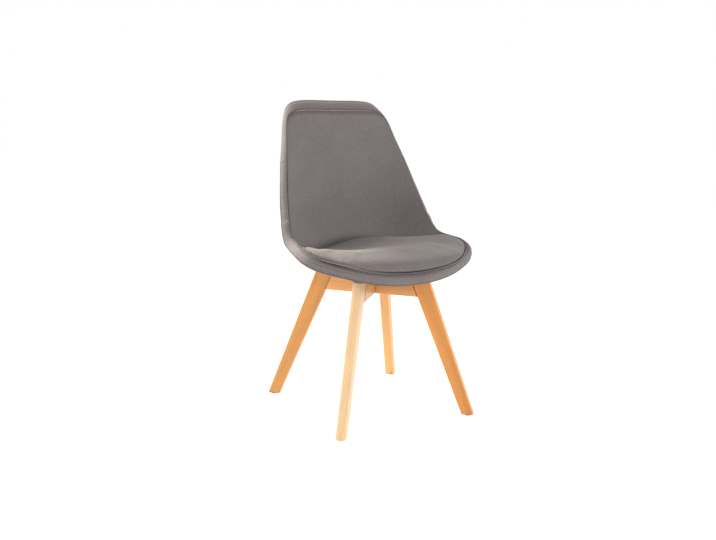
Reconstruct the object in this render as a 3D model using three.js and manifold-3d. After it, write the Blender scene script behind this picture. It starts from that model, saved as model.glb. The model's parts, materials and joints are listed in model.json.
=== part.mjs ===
// Upholstered bucket chair on a crossed beech frame.
// Millimetres, +Z up, the sitter looks along -Y. The origin is on the floor under the middle of the chair.
import * as THREE from "three";
import { mergeVertices } from "three/addons/utils/BufferGeometryUtils.js";
import Module from "manifold-3d";

const wasm = await Module();
wasm.setup();

// Bucket, taken at the middle of its padded thickness and measured from where the rails cross
const shellHalfWidth = 254;
const lipForward = 199;
const lipHeight = 386;
const shellReach = 429;
const shellRise = 437;
const dishDepth = 117;

// Layers of the bucket
const bandWidth = 28;
const shellThickness = 4;
const rearFoamThickness = 7;
const coverThickness = 1.2;
const layerGap = 0.4;
const edgeRound = 4;
const topSetback = 38;
const bandThickness = 1.2;
const bandGap = 0.7;
const bandCrown = 1.4;

// Seat cushion
const cushionCrown = 48;
const cushionEdge = 5;
const cushionDrawIn = 8;
const crownPower = 2.5;
const crownFullness = 0.75;
const pipingRadius = 1.5;

// Crossed rails
const railThickness = 26;
const railHeight = 50;
const railUnderside = 314;
const railRound = 3;
const tenonLength = 20;
const tenonHeight = 32;
const tenonThickness = 10;

// Legs, measured along the diagonals from where the rails cross
const footRadius = 276;
const footWidth = 32.6;
const legTopRadius = 131;
const legTopWidth = 49.6;
const legThickness = 25.6;
const legRound = 5;
const legRise = 6;

// Glides under the feet
const glideRadius = 10;
const glideThickness = 3;
const nailRadius = 1.4;
const nailLength = 14;

// Screws that hold the bucket to the rails
const bossSpread = 74;
const bossRadius = 13;
const screwRadius = 3;
const screwHeadRadius = 5.6;
const screwHeadHeight = 3.6;
const screwReach = 10;
const socketRadius = 2.2;
const socketDepth = 2;
const washerRadius = 7;
const washerThickness = 1.4;
const counterboreDepth = 26;
const insertRadius = 4.2;
const insertLength = 12;
const insertFlange = 1;

// Clearances and the overrun of cuts
const seatGap = 0.3;
const holeClearance = 0.4;
const overrun = 6;

// Fineness of the meshes
const spokeCount = 40;
const cushionSpokeCount = 32;
const roundSteps = 12;
const cornerSteps = 3;
const cordSides = 6;
const outlineSamples = 400;
const cornerWeight = 60;

// Centre line of the bucket from the front lip to the top edge, in shares of its reach and rise
const profileShares = [
  [0, 0],
  [0.09, 0.011],
  [0.23, 0.013],
  [0.37, 0.01],
  [0.51, 0.012],
  [0.622, 0.031],
  [0.72, 0.088],
  [0.793, 0.176],
  [0.83, 0.267],
  [0.867, 0.405],
  [0.907, 0.588],
  [0.944, 0.748],
  [0.974, 0.879],
  [1, 1],
];

// Right half of the bucket's edge, in shares of its half width and of the centre line's length
const edgeShares = [
  [0, 0],
  [0.28, 0.003],
  [0.5, 0.02],
  [0.7, 0.05],
  [0.88, 0.094],
  [0.968, 0.13],
  [0.988, 0.18],
  [0.965, 0.225],
  [0.93, 0.295],
  [0.907, 0.39],
  [0.887, 0.49],
  [0.852, 0.585],
  [0.755, 0.75],
  [0.688, 0.84],
  [0.623, 0.932],
  [0.582, 0.968],
  [0.515, 0.989],
  [0.42, 0.998],
  [0, 1],
];

// How far the bucket's sides rise over its centre line at stations along it, in shares of the dish depth
const stationShares = [0, 0.05, 0.1, 0.15, 0.2, 0.3, 0.4, 0.5, 0.6, 0.7, 0.8, 0.9, 0.95, 1];
const dishShares = [0.45, 0.44, 0.4, 0.44, 0.54, 0.74, 0.92, 1, 0.93, 0.79, 0.56, 0.17, 0.03, 0];

// They rise with this power of the share of the half width at the same stations
const dishPowers = [2, 2.5, 3, 3.3, 3.5, 3.5, 3.2, 2.8, 2.7, 2.6, 2.5, 2.4, 2.4, 2.4];

// Right half of the cushion's edge, in the same shares as the bucket's edge
const cushionShares = [
  [0, 0.0205],
  [0.28, 0.0205],
  [0.45, 0.0245],
  [0.56, 0.033],
  [0.68, 0.051],
  [0.8, 0.084],
  [0.885, 0.12],
  [0.925, 0.153],
  [0.937, 0.188],
  [0.92, 0.225],
  [0.876, 0.27],
  [0.835, 0.315],
  [0.765, 0.368],
  [0.65, 0.412],
  [0.49, 0.435],
  [0.27, 0.441],
  [0, 0.441],
];
const bucketCentreShare = 0.4;
const setbackShare = 0.85;
const spreadShare = 0.05;
const cushionCentreShare = 0.22;
const ringShares = [0.2, 0.38, 0.55, 0.71, 0.86];
const edgeRingShares = [1, 0.35, 0];
const cushionRingShares = [0.28, 0.53, 0.73, 0.87, 0.96, 1];

// Sizes that follow from the ones above
const halfBand = bandWidth / 2;
const railTop = railUnderside + railHeight;
const legBottom = glideThickness + seatGap;
const bossOffset = bossSpread / Math.SQRT2;
const screwHoleRadius = screwRadius + holeClearance;
const footReach = (footRadius + (footWidth + legThickness - legRound) / 2) / Math.SQRT2;
const crossingForward = (shellReach - lipForward + halfBand - footReach) / 2;
const washerSeat = railUnderside + counterboreDepth;
const screwFace = washerSeat - washerThickness - 2 * seatGap;

const cloth = { color: 0x7a7674, roughness: 0.95, metalness: 0 };
const lining = { color: 0x5c5a59, roughness: 0.95, metalness: 0 };
const foam = { color: 0xe6dfc4, roughness: 1, metalness: 0 };
const plastic = { color: 0xd8d8d4, roughness: 0.5, metalness: 0 };
const beech = { color: 0xe0a366, roughness: 0.55, metalness: 0 };
const steel = { color: 0xb9bcc0, roughness: 0.3, metalness: 1 };
const brass = { color: 0xc9a552, roughness: 0.35, metalness: 1 };
const blackPlastic = { color: 0x2b2b2b, roughness: 0.6, metalness: 0 };

// Geometry from vertices and triangles
function meshGeometry(vertices, triangles) {
  const geometry = new THREE.BufferGeometry().setFromPoints(vertices);
  geometry.setIndex(triangles);
  return geometry;
}

// Skin over sections of equal point counts, closed on itself or capped at both ends
function skin(sections, closed) {
  const count = sections[0].length;
  const vertices = sections.flat();
  const triangles = [];
  const bands = closed ? sections.length : sections.length - 1;
  for (let s = 0; s < bands; s += 1) {
    const here = s * count;
    const next = ((s + 1) % sections.length) * count;
    for (let i = 0; i < count; i += 1) {
      const j = (i + 1) % count;
      triangles.push(here + i, here + j, next + j, here + i, next + j, next + i);
    }
  }
  if (!closed) {
    const top = (sections.length - 1) * count;
    for (let i = 1; i < count - 1; i += 1) {
      triangles.push(0, i + 1, i, top, top + i, top + i + 1);
    }
  }
  return meshGeometry(vertices, triangles);
}

// Solid for joining and cutting, from a closed geometry
function solidOf(geometry) {
  const bare = geometry.clone();
  bare.deleteAttribute("normal");
  bare.deleteAttribute("uv");
  const merged = mergeVertices(bare);
  const vertProperties = merged.attributes.position.array;
  const triVerts = new Uint32Array(merged.index.array);
  return new wasm.Manifold(new wasm.Mesh({ numProp: 3, vertProperties, triVerts }));
}

function geometryOf(solid) {
  const mesh = solid.getMesh();
  const geometry = new THREE.BufferGeometry();
  geometry.setAttribute("position", new THREE.BufferAttribute(mesh.vertProperties, mesh.numProp));
  geometry.setIndex(new THREE.BufferAttribute(mesh.triVerts, 1));
  return geometry;
}

// Box between two corners
function boxBetween(low, high) {
  const size = high.clone().sub(low);
  const middle = high.clone().add(low).multiplyScalar(0.5);
  return new THREE.BoxGeometry(size.x, size.y, size.z).translate(middle.x, middle.y, middle.z);
}

// Turned piece about the Z axis, from [radius, height] points that start and end on the axis
function turned(points) {
  const outline = points.map(([radius, height]) => new THREE.Vector2(radius, height));
  return new THREE.LatheGeometry(outline, roundSteps).rotateX(Math.PI / 2);
}

function upright(radius, bottom, top) {
  return turned([[0, bottom], [radius, bottom], [radius, top], [0, top]]);
}

// The bucket's curved middle surface
const profile = new THREE.CatmullRomCurve3(
  profileShares.map(([reach, rise]) => {
    return new THREE.Vector3(0, reach * shellReach - lipForward, rise * shellRise + lipHeight);
  }),
  false,
  "centripetal",
);
const profileLength = profile.getLength();
const dishTable = new THREE.CubicInterpolant(stationShares, dishShares, 1, [0]);
const powerTable = new THREE.CubicInterpolant(stationShares, dishPowers, 1, [0]);

function bucketPoint(place) {
  const along = THREE.MathUtils.clamp(place.y / profileLength, 0, 1);
  const tangent = profile.getTangentAt(along);
  const inward = new THREE.Vector3(0, -tangent.z, tangent.y);
  const rise = Math.abs(place.x / shellHalfWidth) ** powerTable.evaluate(along)[0];
  const dish = dishTable.evaluate(along)[0] * dishDepth * rise;
  const point = profile.getPointAt(along).addScaledVector(inward, dish);
  point.x = place.x;
  return point;
}

// Unit normal towards the sitter, from two short steps on the surface
function bucketNormal(place) {
  const step = profileLength / outlineSamples;
  const low = Math.max(place.y - step, 0);
  const high = Math.min(place.y + step, profileLength);
  const across = bucketPoint(new THREE.Vector2(place.x + step, place.y));
  across.sub(bucketPoint(new THREE.Vector2(place.x - step, place.y)));
  const along = bucketPoint(new THREE.Vector2(place.x, high));
  along.sub(bucketPoint(new THREE.Vector2(place.x, low)));
  return across.cross(along).normalize();
}

// Point at a height over the middle surface: near the top the front lies lower than the rear, and wider
function over(place, height) {
  const forward = (height + halfBand) / bandWidth;
  const share = THREE.MathUtils.smoothstep(place.y / profileLength, setbackShare, 1) * forward;
  const moved = new THREE.Vector2(place.x * (1 + spreadShare * share), place.y - topSetback * share);
  return bucketPoint(moved).addScaledVector(bucketNormal(moved), height);
}

// Smooth closed outline on the flat bucket from its right half
function closedOutline(shares) {
  const right = shares.map(([across, along]) => {
    return new THREE.Vector3(across * shellHalfWidth, along * profileLength, 0);
  });
  const left = right.slice(1, -1).reverse().map((p) => new THREE.Vector3(-p.x, p.y, 0));
  return new THREE.CatmullRomCurve3([...right, ...left], true, "centripetal");
}

// Ends of the spokes on an outline: closer together round its corners, alike on both sides
function spokeEnds(shares, count) {
  const samples = closedOutline(shares).getSpacedPoints(outlineSamples);
  const right = samples.slice(0, outlineSamples / 2 + 1);
  const weights = [0];
  for (let i = 1; i < right.length; i += 1) {
    const step = right[i].clone().sub(right[i - 1]);
    const next = samples[i + 1].clone().sub(right[i]);
    weights.push(weights[i - 1] + step.length() + step.angleTo(next) * cornerWeight);
  }
  const half = count / 2;
  const ends = [];
  for (let k = 0; k <= half; k += 1) {
    const target = (k / half) * weights[weights.length - 1];
    const found = weights.findIndex((weight) => weight >= target);
    ends.push(new THREE.Vector2(right[found].x, right[found].y));
  }
  ends[0].x = 0;
  ends[half].x = 0;
  const mirrored = ends.slice(1, half).reverse().map((p) => new THREE.Vector2(-p.x, p.y));
  return [...ends, ...mirrored];
}

// Rings of places inside an outline, each with its distance from the edge and its share of the way out
function placeRings(ends, centre, edge, shares, edgeShareList) {
  const rings = shares.map((share) => {
    return ends.map((end) => {
      const reach = end.distanceTo(centre);
      return { reach, inset: reach - (reach - edge) * share };
    });
  });
  edgeShareList.forEach((share) => {
    rings.push(ends.map((end) => ({ reach: end.distanceTo(centre), inset: edge * share })));
  });
  return rings.map((ring) => {
    return ring.map(({ reach, inset }, i) => {
      const out = 1 - inset / reach;
      return { place: centre.clone().lerp(ends[i], out), inset, out };
    });
  });
}

// Closed solid between two surfaces over rings of places
function blanket(rings, centre, low, high) {
  const count = rings[0].length;
  const vertices = [];
  const triangles = [];
  [low, high].forEach((surface, side) => {
    const first = vertices.length;
    vertices.push(surface({ place: centre, inset: centre.y, out: 0 }));
    rings.forEach((ring) => vertices.push(...ring.map(surface)));
    ringFaces(rings.length, count).forEach(([a, b, c]) => {
      triangles.push(first + a, first + (side ? b : c), first + (side ? c : b));
    });
  });
  const half = vertices.length / 2;
  const edge = half - count;
  for (let i = 0; i < count; i += 1) {
    const j = (i + 1) % count;
    triangles.push(edge + i, edge + j, edge + half + j, edge + i, edge + half + j, edge + half + i);
  }
  return meshGeometry(vertices, triangles);
}

// Triangles of a disc of rings round its first vertex
function ringFaces(ringCount, count) {
  const faces = [];
  for (let i = 0; i < count; i += 1) {
    const j = (i + 1) % count;
    faces.push([0, 1 + i, 1 + j]);
    for (let r = 0; r < ringCount - 1; r += 1) {
      const inner = 1 + r * count;
      const outer = inner + count;
      faces.push([inner + i, outer + i, outer + j], [inner + i, outer + j, inner + j]);
    }
  }
  return faces;
}

const bucketCentre = new THREE.Vector2(0, bucketCentreShare * profileLength);
const bucketEnds = spokeEnds(edgeShares, spokeCount);
const bucketRings = placeRings(bucketEnds, bucketCentre, edgeRound, ringShares, edgeRingShares);

// Share of the full thickness that is left towards the rounded edge
function edgeFade(inset) {
  const bare = Math.max(1 - inset / edgeRound, 0);
  const drop = 1 - Math.sqrt(1 - bare ** 2);
  return 1 - (drop * edgeRound) / bandWidth;
}

// One layer of the bucket between two heights over the middle surface
function bucketLayer(low, high) {
  const surfaceAt = (height) => (spot) => over(spot.place, height * edgeFade(spot.inset));
  return blanket(bucketRings, bucketCentre, surfaceAt(low), surfaceAt(high));
}

// Heights of the layers, from the rear cover to the front cover
const rearCoverTop = coverThickness - halfBand;
const rearFoamTop = rearCoverTop + layerGap + rearFoamThickness;
const shellBottom = rearFoamTop + layerGap;
const shellTop = shellBottom + shellThickness;
const frontFoamBottom = shellTop + layerGap;
const frontCoverBottom = halfBand - coverThickness;
const frontFoamTop = frontCoverBottom - layerGap;

// The four bosses stand over the rails, half way to the legs
const bossPlaces = [-1, 1].flatMap((sx) => {
  return [-1, 1].map((sy) => new THREE.Vector2(sx * bossOffset, sy * bossOffset));
});

function frontCover() {
  return bucketLayer(frontCoverBottom, halfBand);
}

function frontFoam() {
  return bucketLayer(frontFoamBottom, frontFoamTop);
}

// Moulded shell with four bosses, each bored from below for a threaded insert
function seatShell() {
  const middle = (shellBottom + shellTop) / 2;
  const bottom = railTop + seatGap;
  const above = solidOf(bucketLayer(middle, 2 * bandWidth));
  const boreTop = bottom + insertLength + screwReach / 2;
  let shell = solidOf(bucketLayer(shellBottom, shellTop));
  bossPlaces.forEach((place) => {
    const boss = upright(bossRadius, bottom, lipHeight + bandWidth).translate(place.x, place.y, 0);
    const bore = upright(insertRadius + holeClearance, bottom - overrun, boreTop);
    shell = shell.add(solidOf(boss).subtract(above));
    shell = shell.subtract(solidOf(bore.translate(place.x, place.y, 0)));
  });
  return geometryOf(shell);
}

// A rear layer with a hole round each boss
function piercedLayer(low, high) {
  let layer = solidOf(bucketLayer(low, high));
  bossPlaces.forEach((place) => {
    const hole = upright(bossRadius + holeClearance, railTop, lipHeight + bandWidth);
    layer = layer.subtract(solidOf(hole.translate(place.x, place.y, 0)));
  });
  return geometryOf(layer);
}

// Boxed strip of cloth round the edge, a little crowned
function sideBand() {
  const reach = halfBand * edgeFade(0);
  const outer = bandGap + bandThickness;
  const section = [
    [-reach, bandGap],
    [0, bandGap],
    [reach, bandGap],
    [reach, outer],
    [0, outer + bandCrown],
    [-reach, outer],
  ];
  return skin(edgeSections(bucketEnds, section), true);
}

// Sections of a strip or cord round an outline, from [height, outward] points
function edgeSections(ends, section) {
  return ends.map((end, i) => {
    const here = bucketPoint(end);
    const before = here.clone().sub(bucketPoint(ends[(i + ends.length - 1) % ends.length]));
    const after = bucketPoint(ends[(i + 1) % ends.length]).sub(here);
    const tangent = before.normalize().add(after.normalize());
    const outward = tangent.cross(bucketNormal(end)).normalize();
    return section.map(([height, out]) => {
      return over(end, height).addScaledVector(outward, out);
    });
  });
}

// Seat cushion: crowned on top, its sides drawn in under the seam
const cushionCentre = new THREE.Vector2(0, cushionCentreShare * profileLength);
const cushionEnds = spokeEnds(cushionShares, cushionSpokeCount);
const cushionRings = placeRings(cushionEnds, cushionCentre, 0, cushionRingShares, []);
const cushionFloor = halfBand + layerGap;

// The bucket filled up to a height, which cuts what lies on it to its shape
function seatBelow(height) {
  return solidOf(bucketLayer(-halfBand, height));
}

// Cushion made smaller by an amount on every side, and cut to a floor over the bucket
function cushionBody(pull, floor) {
  const pulledIn = (spot, distance) => {
    const inward = cushionCentre.clone().sub(spot.place).normalize();
    return spot.place.clone().addScaledVector(inward, distance * spot.out);
  };
  const low = (spot) => over(pulledIn(spot, pull + cushionDrawIn), 0);
  const high = (spot) => {
    const crown = cushionCrown * (1 - spot.out ** crownPower) ** crownFullness;
    return over(pulledIn(spot, pull), cushionFloor + cushionEdge + crown - pull);
  };
  const body = solidOf(blanket(cushionRings, cushionCentre, low, high));
  return body.subtract(seatBelow(floor));
}

function cushionFoam() {
  const pull = coverThickness + layerGap;
  return geometryOf(cushionBody(pull, cushionFloor + pull));
}

function cushionCover() {
  return geometryOf(cushionBody(0, cushionFloor).subtract(cushionBody(coverThickness, 0)));
}

// Lining that closes the cushion underneath
function cushionLining() {
  const pull = coverThickness + layerGap;
  const inside = cushionBody(pull, cushionFloor);
  return geometryOf(inside.intersect(seatBelow(cushionFloor + coverThickness)));
}

// Cord sewn round the cushion's lower edge
function cushionPiping() {
  const height = cushionFloor + pipingRadius;
  const out = pipingRadius + seatGap;
  const section = [];
  for (let i = 0; i < cordSides; i += 1) {
    const angle = (i / cordSides) * 2 * Math.PI;
    section.push([height + pipingRadius * Math.cos(angle), out + pipingRadius * Math.sin(angle)]);
  }
  return geometryOf(solidOf(skin(edgeSections(cushionEnds, section), true)).subtract(seatBelow(cushionFloor)));
}

// Distance of a leg's face from the crossing at a height: side -1 is the inner face, 1 the outer
function legFace(side, height) {
  const up = height / railTop;
  const middle = THREE.MathUtils.lerp(footRadius, legTopRadius, up);
  return middle + (side * THREE.MathUtils.lerp(footWidth, legTopWidth, up)) / 2;
}

// Corners of a rectangle rounded by arcs, anticlockwise
function roundedRectangle(low, high, left, right, radius) {
  const centres = [
    [high - radius, right - radius],
    [low + radius, right - radius],
    [low + radius, left + radius],
    [high - radius, left + radius],
  ];
  return centres.flatMap(([u, v], quarter) => {
    const arc = [];
    for (let i = 0; i <= cornerSteps; i += 1) {
      const angle = ((quarter + i / cornerSteps) * Math.PI) / 2;
      arc.push([u + radius * Math.cos(angle), v + radius * Math.sin(angle)]);
    }
    return arc;
  });
}

// Tongue of a rail inside a leg, or its slot when grown by a clearance
function tongue(grow) {
  const middle = railUnderside + railHeight / 2;
  const inner = legFace(-1, middle);
  const low = new THREE.Vector3(inner - tenonLength, -tenonThickness / 2, middle - tenonHeight / 2);
  const high = new THREE.Vector3(inner + tenonLength, tenonThickness / 2, middle + tenonHeight / 2);
  return solidOf(boxBetween(low.subScalar(grow), high.addScalar(grow)));
}

// Tapered, splayed leg, a little taller than the rail, with its slot and a hole for the glide's nail
function leg() {
  const sections = [legBottom, railTop + legRise].map((height) => {
    const corners = roundedRectangle(
      legFace(-1, height),
      legFace(1, height),
      -legThickness / 2,
      legThickness / 2,
      legRound,
    );
    return corners.map(([x, y]) => new THREE.Vector3(x, y, height));
  });
  const nailHole = upright(nailRadius + holeClearance, legBottom - overrun, legBottom + nailLength);
  const body = solidOf(skin(sections, false));
  return geometryOf(body.subtract(tongue(seatGap)).subtract(solidOf(nailHole.translate(footRadius, 0, 0))));
}

// Rail between two legs, half lapped with the other rail and bored for two screws
function rail(side) {
  const middle = railUnderside + railHeight / 2;
  const sections = [-1, 1].map((end) => {
    const corners = roundedRectangle(
      -railThickness / 2,
      railThickness / 2,
      railUnderside,
      railTop,
      railRound,
    );
    return corners.map(([y, z]) => new THREE.Vector3(end * (legFace(-1, z) - seatGap), y, z));
  });
  const lapWidth = railThickness / 2 + seatGap;
  const lapLow = side > 0 ? middle - seatGap / 2 : railUnderside - overrun;
  const lapHigh = side > 0 ? railTop + overrun : middle + seatGap / 2;
  const lap = boxBetween(
    new THREE.Vector3(-lapWidth, -lapWidth, lapLow),
    new THREE.Vector3(lapWidth, lapWidth, lapHigh),
  );
  let body = solidOf(skin(sections, false));
  const tenon = tongue(0);
  body = body.add(tenon).add(tenon.rotate([0, 0, 180])).subtract(solidOf(lap));
  [-1, 1].forEach((end) => {
    const hole = upright(screwHoleRadius, railUnderside, railTop + overrun);
    const counterbore = upright(washerRadius + holeClearance, railUnderside - overrun, washerSeat);
    body = body.subtract(solidOf(hole.translate(end * bossSpread, 0, 0)));
    body = body.subtract(solidOf(counterbore.translate(end * bossSpread, 0, 0)));
  });
  return geometryOf(body);
}

// Plastic glide with a nail that goes up into the leg
function glide() {
  return turned([
    [0, 0],
    [glideRadius - glideThickness / 3, 0],
    [glideRadius, glideThickness / 3],
    [glideRadius, glideThickness],
    [nailRadius, glideThickness],
    [nailRadius, glideThickness + nailLength - nailRadius],
    [0, glideThickness + nailLength],
  ]);
}

// Cap screw, head down, with a round socket
function seatScrew() {
  const length = railTop + seatGap + screwReach - screwFace;
  const top = screwHeadHeight + length;
  return turned([
    [0, socketDepth],
    [socketRadius, socketDepth],
    [socketRadius, 0],
    [screwHeadRadius - screwHeadHeight / 4, 0],
    [screwHeadRadius, screwHeadHeight / 4],
    [screwHeadRadius, screwHeadHeight],
    [screwRadius, screwHeadHeight],
    [screwRadius, top - screwRadius / 2],
    [screwRadius / 2, top],
    [0, top],
  ]);
}

// Turned ring of a square section
function ring(inner, outer, height) {
  return turned([[inner, 0], [outer, 0], [outer, height], [inner, height], [inner, 0]]);
}

// Threaded insert of a boss, with a flange at its mouth
function insert() {
  const bore = screwRadius + seatGap;
  const neck = insertRadius - seatGap;
  return turned([
    [bore, 0],
    [insertRadius, 0],
    [insertRadius, insertFlange],
    [neck, insertFlange + seatGap],
    [neck, insertLength - insertFlange],
    [insertRadius - seatGap / 2, insertLength],
    [bore, insertLength],
    [bore, 0],
  ]);
}

const chair = new THREE.Group();
chair.position.y = -crossingForward;

function addPiece(name, geometry, look, parent = chair) {
  const mesh = new THREE.Mesh(geometry, new THREE.MeshStandardMaterial(look));
  mesh.name = name;
  parent.add(mesh);
  return mesh;
}

addPiece("front_cover", frontCover(), cloth);
addPiece("front_foam", frontFoam(), foam);
addPiece("seat_shell", seatShell(), plastic);
addPiece("rear_foam", piercedLayer(rearCoverTop + layerGap, rearFoamTop), foam);
addPiece("rear_cover", piercedLayer(-halfBand, rearCoverTop), cloth);
addPiece("side_band", sideBand(), cloth);
addPiece("cushion_cover", cushionCover(), cloth);
addPiece("cushion_foam", cushionFoam(), foam);
addPiece("cushion_lining", cushionLining(), lining);
addPiece("cushion_piping", cushionPiping(), cloth);

// A rail lies on each diagonal
[1, -1].forEach((side) => {
  const diagonal = new THREE.Group();
  diagonal.rotation.z = (side * Math.PI) / 4;
  chair.add(diagonal);
  addPiece(side > 0 ? "lower_rail" : "upper_rail", rail(side), beech, diagonal);
});

// A leg with its glide, and a screw with its washer and insert, lie towards each corner
["rear_left", "rear_right", "front_right", "front_left"].forEach((name, quarter) => {
  const arm = new THREE.Group();
  arm.rotation.z = ((2 * quarter + 1) * Math.PI) / 4;
  chair.add(arm);
  addPiece("leg_" + name, leg(), beech, arm);
  addPiece("glide_" + name, glide(), blackPlastic, arm).position.x = footRadius;
  const screw = addPiece("seat_screw_" + name, seatScrew(), steel, arm);
  screw.position.set(bossSpread, 0, screwFace - screwHeadHeight);
  const washer = addPiece("washer_" + name, ring(screwHoleRadius, washerRadius, washerThickness), steel, arm);
  washer.position.set(bossSpread, 0, washerSeat - seatGap - washerThickness);
  addPiece("insert_" + name, insert(), brass, arm).position.set(bossSpread, 0, railTop + 2 * seatGap);
});

export default chair;
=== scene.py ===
# Looks of an upholstered bucket chair on a crossed beech frame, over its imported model.
# Metres, +Z up, the sitter looks along -Y.
import json
import math

import bmesh
import bpy
import numpy as np
from mathutils import Matrix, Vector, noise
from mathutils.bvhtree import BVHTree
from mathutils.kdtree import KDTree

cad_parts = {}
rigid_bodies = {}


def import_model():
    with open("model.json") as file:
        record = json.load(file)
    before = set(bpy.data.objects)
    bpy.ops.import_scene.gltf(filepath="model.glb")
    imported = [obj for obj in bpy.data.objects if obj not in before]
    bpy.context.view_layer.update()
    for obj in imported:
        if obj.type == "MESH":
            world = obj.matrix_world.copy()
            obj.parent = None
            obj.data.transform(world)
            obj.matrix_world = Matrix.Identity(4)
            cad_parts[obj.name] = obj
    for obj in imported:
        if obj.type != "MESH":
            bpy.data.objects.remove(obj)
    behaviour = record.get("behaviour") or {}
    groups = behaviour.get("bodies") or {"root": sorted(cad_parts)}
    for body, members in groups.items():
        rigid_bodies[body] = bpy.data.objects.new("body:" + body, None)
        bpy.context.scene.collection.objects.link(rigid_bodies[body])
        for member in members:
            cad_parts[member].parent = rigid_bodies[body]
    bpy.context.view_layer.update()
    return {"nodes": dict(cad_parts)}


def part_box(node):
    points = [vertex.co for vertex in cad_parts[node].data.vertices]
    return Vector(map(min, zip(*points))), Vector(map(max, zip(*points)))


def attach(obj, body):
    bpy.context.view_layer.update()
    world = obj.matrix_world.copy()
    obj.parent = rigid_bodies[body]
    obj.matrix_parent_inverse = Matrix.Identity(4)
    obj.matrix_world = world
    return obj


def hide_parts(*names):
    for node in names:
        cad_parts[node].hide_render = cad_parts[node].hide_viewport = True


# Bucket, taken at the middle of its padded thickness and measured from where the rails cross
shell_half_width = 0.254
lip_forward = 0.199
lip_height = 0.386
shell_reach = 0.429
shell_rise = 0.437
dish_depth = 0.117
band_width = 0.028
top_setback = 0.038
half_band = band_width / 2

# Pads of the bucket: a rolled edge, wider at the back and its top, that ends in a seam
roll_width = 0.008
roll_drop = 0.0016
back_roll_factor = 2
top_roll_gain = 2
seam_round = 0.0015
seam_gap = 0.0002
# Painted shade in the seams: how far it reaches, its share, and how much deeper it is at the back's top
seam_shade_reach = 0.004
seam_shade_share = 0.2
top_seam_shade_gain = 2
# Painted shade in the crevice round the cushion's rear: how far it reaches
crevice_shade_reach = 0.035
front_pad_floor = 0.0002
rear_pad_floor = 0.0062
boss_hole_radius = 0.0134
boss_hole_reach = 0.06
pad_edge = half_band - roll_drop - seam_round
corner_names = ("rear_left", "rear_right", "front_right", "front_left")

# Band between the two seams, and where along the edge its two strips are joined
band_base = 0.001
band_crown = 0.002
band_edge = pad_edge - seam_gap
band_flat = band_edge - seam_round
band_inside = band_base - 2 * seam_round
joint_shares = (0.114, 0.651)
joint_depth = 0.0012
joint_width = 0.0016
joint_reach = 2 * joint_width

# Cushion and its piping
cushion_gap = 0.0006
cushion_crown = 0.044
cushion_edge = 0.007
cushion_draw_in = 0.008
crown_power = 3.5
crown_fullness = 0.55
cushion_lean = 0.5
piping_radius = 0.0015
piping_lift = 0.0008
piping_wave = 0.05

# Cloth simulation of the cushion
voxel = 0.0045
swell_limit = 0.003
cloth_pressure = 4
cloth_bending = 8
cloth_frames = 20
relax_steps = 4

# Unevenness of the cloth
waviness = 0.0007
wave_length = 0.07
pucker_depth = 0.0009
pucker_pitch = 0.011
pucker_reach = 0.014
pucker_drift = 0.06
pucker_drift_shares = (-0.2, 0.6)
low_pucker_share = 0.25
fold_depth = 0.0008
fold_pitch = 0.0085
fold_reach = 0.09
fold_drift = 0.05
fold_share = 0.115
fold_seed = 0.0008
band_seed = 3

# Fineness of the meshes
spoke_count = 240
edge_point_count = 960
ring_count = 40
crown_ring_count = 20
inner_ring_count = 8
round_steps = 5
band_steps = 12
fine_steps = 60
slope_steps = 480
cord_sides = 12
hole_sides = 48
quarter_turn = np.linspace(0, math.pi / 2, round_steps + 1)

# Centre line of the bucket from the front lip to the top edge, in shares of its reach and rise
profile_shares = [
    (0, 0),
    (0.09, 0.011),
    (0.23, 0.013),
    (0.37, 0.01),
    (0.51, 0.012),
    (0.622, 0.031),
    (0.72, 0.088),
    (0.793, 0.176),
    (0.83, 0.267),
    (0.867, 0.405),
    (0.907, 0.588),
    (0.944, 0.748),
    (0.974, 0.879),
    (1, 1),
]

# Right half of the bucket's edge, in shares of its half width and of the centre line's length
edge_shares = [
    (0, 0),
    (0.28, 0.003),
    (0.5, 0.02),
    (0.7, 0.05),
    (0.88, 0.094),
    (0.968, 0.13),
    (0.988, 0.18),
    (0.965, 0.225),
    (0.93, 0.295),
    (0.907, 0.39),
    (0.887, 0.49),
    (0.852, 0.585),
    (0.755, 0.75),
    (0.688, 0.84),
    (0.623, 0.932),
    (0.582, 0.968),
    (0.515, 0.989),
    (0.42, 0.998),
    (0, 1),
]

# How far the bucket's sides rise at stations along it, in shares of the dish depth, and by which power
station_shares = [0, 0.05, 0.1, 0.15, 0.2, 0.3, 0.4, 0.5, 0.6, 0.7, 0.8, 0.9, 0.95, 1]
dish_shares = [0.45, 0.44, 0.4, 0.44, 0.54, 0.74, 0.92, 1, 0.93, 0.79, 0.56, 0.17, 0.03, 0]
dish_powers = [2, 2.5, 3, 3.3, 3.5, 3.5, 3.2, 2.8, 2.7, 2.6, 2.5, 2.4, 2.4, 2.4]

# Right half of the cushion's edge, in the same shares as the bucket's edge
cushion_shares = [
    (0, 0.0115),
    (0.28, 0.0115),
    (0.456, 0.0155),
    (0.574, 0.0245),
    (0.698, 0.0435),
    (0.823, 0.0785),
    (0.91, 0.117),
    (0.948, 0.153),
    (0.95, 0.188),
    (0.925, 0.226),
    (0.855, 0.262),
    (0.755, 0.298),
    (0.635, 0.34),
    (0.49, 0.375),
    (0.34, 0.403),
    (0.18, 0.424),
    (0, 0.43),
]

# Places on the bucket in the same shares: the middles of its pads, and where its form and its painted shade
# change
bucket_centre_share = 0.4
setback_share = 0.85
spread_share = 0.05
cushion_centre_share = 0.25
lean_across_shares = (-0.45, 0.3)
lean_along_shares = (0.05, 0.3)
crevice_shade_shares = (0.15, 0.3)
top_strip_shares = (0.9, 0.98)
back_shares = (0.3, 0.5)

# Camera of the photograph
camera_azimuth = -30.433
camera_elevation = 11.338
camera_roll = 0.0244
camera_aim = Vector((-0.03266, 0.00417, 0.37462))
camera_distance = 2.33815
camera_lens = 43.78
camera_sensor = 36

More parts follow.
